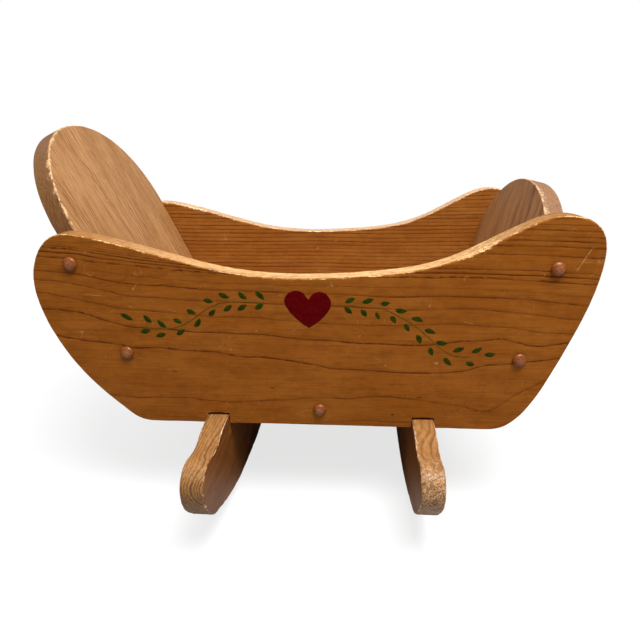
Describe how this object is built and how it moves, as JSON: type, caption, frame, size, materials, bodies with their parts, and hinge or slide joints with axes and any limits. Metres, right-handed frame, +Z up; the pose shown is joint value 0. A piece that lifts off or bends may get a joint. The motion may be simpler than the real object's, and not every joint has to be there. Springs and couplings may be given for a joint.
{
  "type": "rocking doll cradle",
  "caption": "Open-topped pine cradle with shaped sides, leaning arched head and foot boards, a flat bottom board and cross-set curved rockers; it rocks side to side to lull a doll.",
  "frame": {"origin": "centre of the whole footprint, at floor level, under the rockers' lowest line", "axes": "+Z up, +X along the cradle towards the low foot board, -X towards the tall headboard, -Y towards the painted side"},
  "size_m": [0.5271, 0.4376, 0.3753],
  "materials": {
    "side_board_wood": "aged clear-coated pine, amber, wavy dark growth rings, worn pale edges",
    "end_board_wood": "aged clear-coated pine, paler, straight grain running up the board",
    "bottom_board_wood": "aged clear-coated pine",
    "rocker_wood": "aged clear-coated pine, worn to bare grey wood at the toes and along the running edge",
    "plug_wood": "stained birch button plug, glossy dome",
    "screw_steel": "zinc-plated wood screw"
  },
  "bodies": {
    "root": {"side_board_front": "side_board_wood", "side_board_back": "side_board_wood", "headboard": "end_board_wood", "footboard": "end_board_wood", "bottom_board": "bottom_board_wood", "rocker_head": "rocker_wood", "rocker_foot": "rocker_wood", "button_plug_front_head_upper": "plug_wood", "button_plug_front_head_lower": "plug_wood", "button_plug_front_foot_upper": "plug_wood", "button_plug_front_foot_lower": "plug_wood", "button_plug_front_bottom_mid": "plug_wood", "button_plug_back_head_upper": "plug_wood", "button_plug_back_head_lower": "plug_wood", "button_plug_back_foot_upper": "plug_wood", "button_plug_back_foot_lower": "plug_wood", "button_plug_back_bottom_mid": "plug_wood", "screw_front_head_upper": "screw_steel", "screw_front_head_lower": "screw_steel", "screw_front_foot_upper": "screw_steel", "screw_front_foot_lower": "screw_steel", "screw_front_bottom_mid": "screw_steel", "screw_back_head_upper": "screw_steel", "screw_back_head_lower": "screw_steel", "screw_back_foot_upper": "screw_steel", "screw_back_foot_lower": "screw_steel", "screw_back_bottom_mid": "screw_steel", "rocker_screw_head_front": "screw_steel", "rocker_screw_head_back": "screw_steel", "rocker_screw_foot_front": "screw_steel", "rocker_screw_foot_back": "screw_steel"}
  },
  "joints": []
}
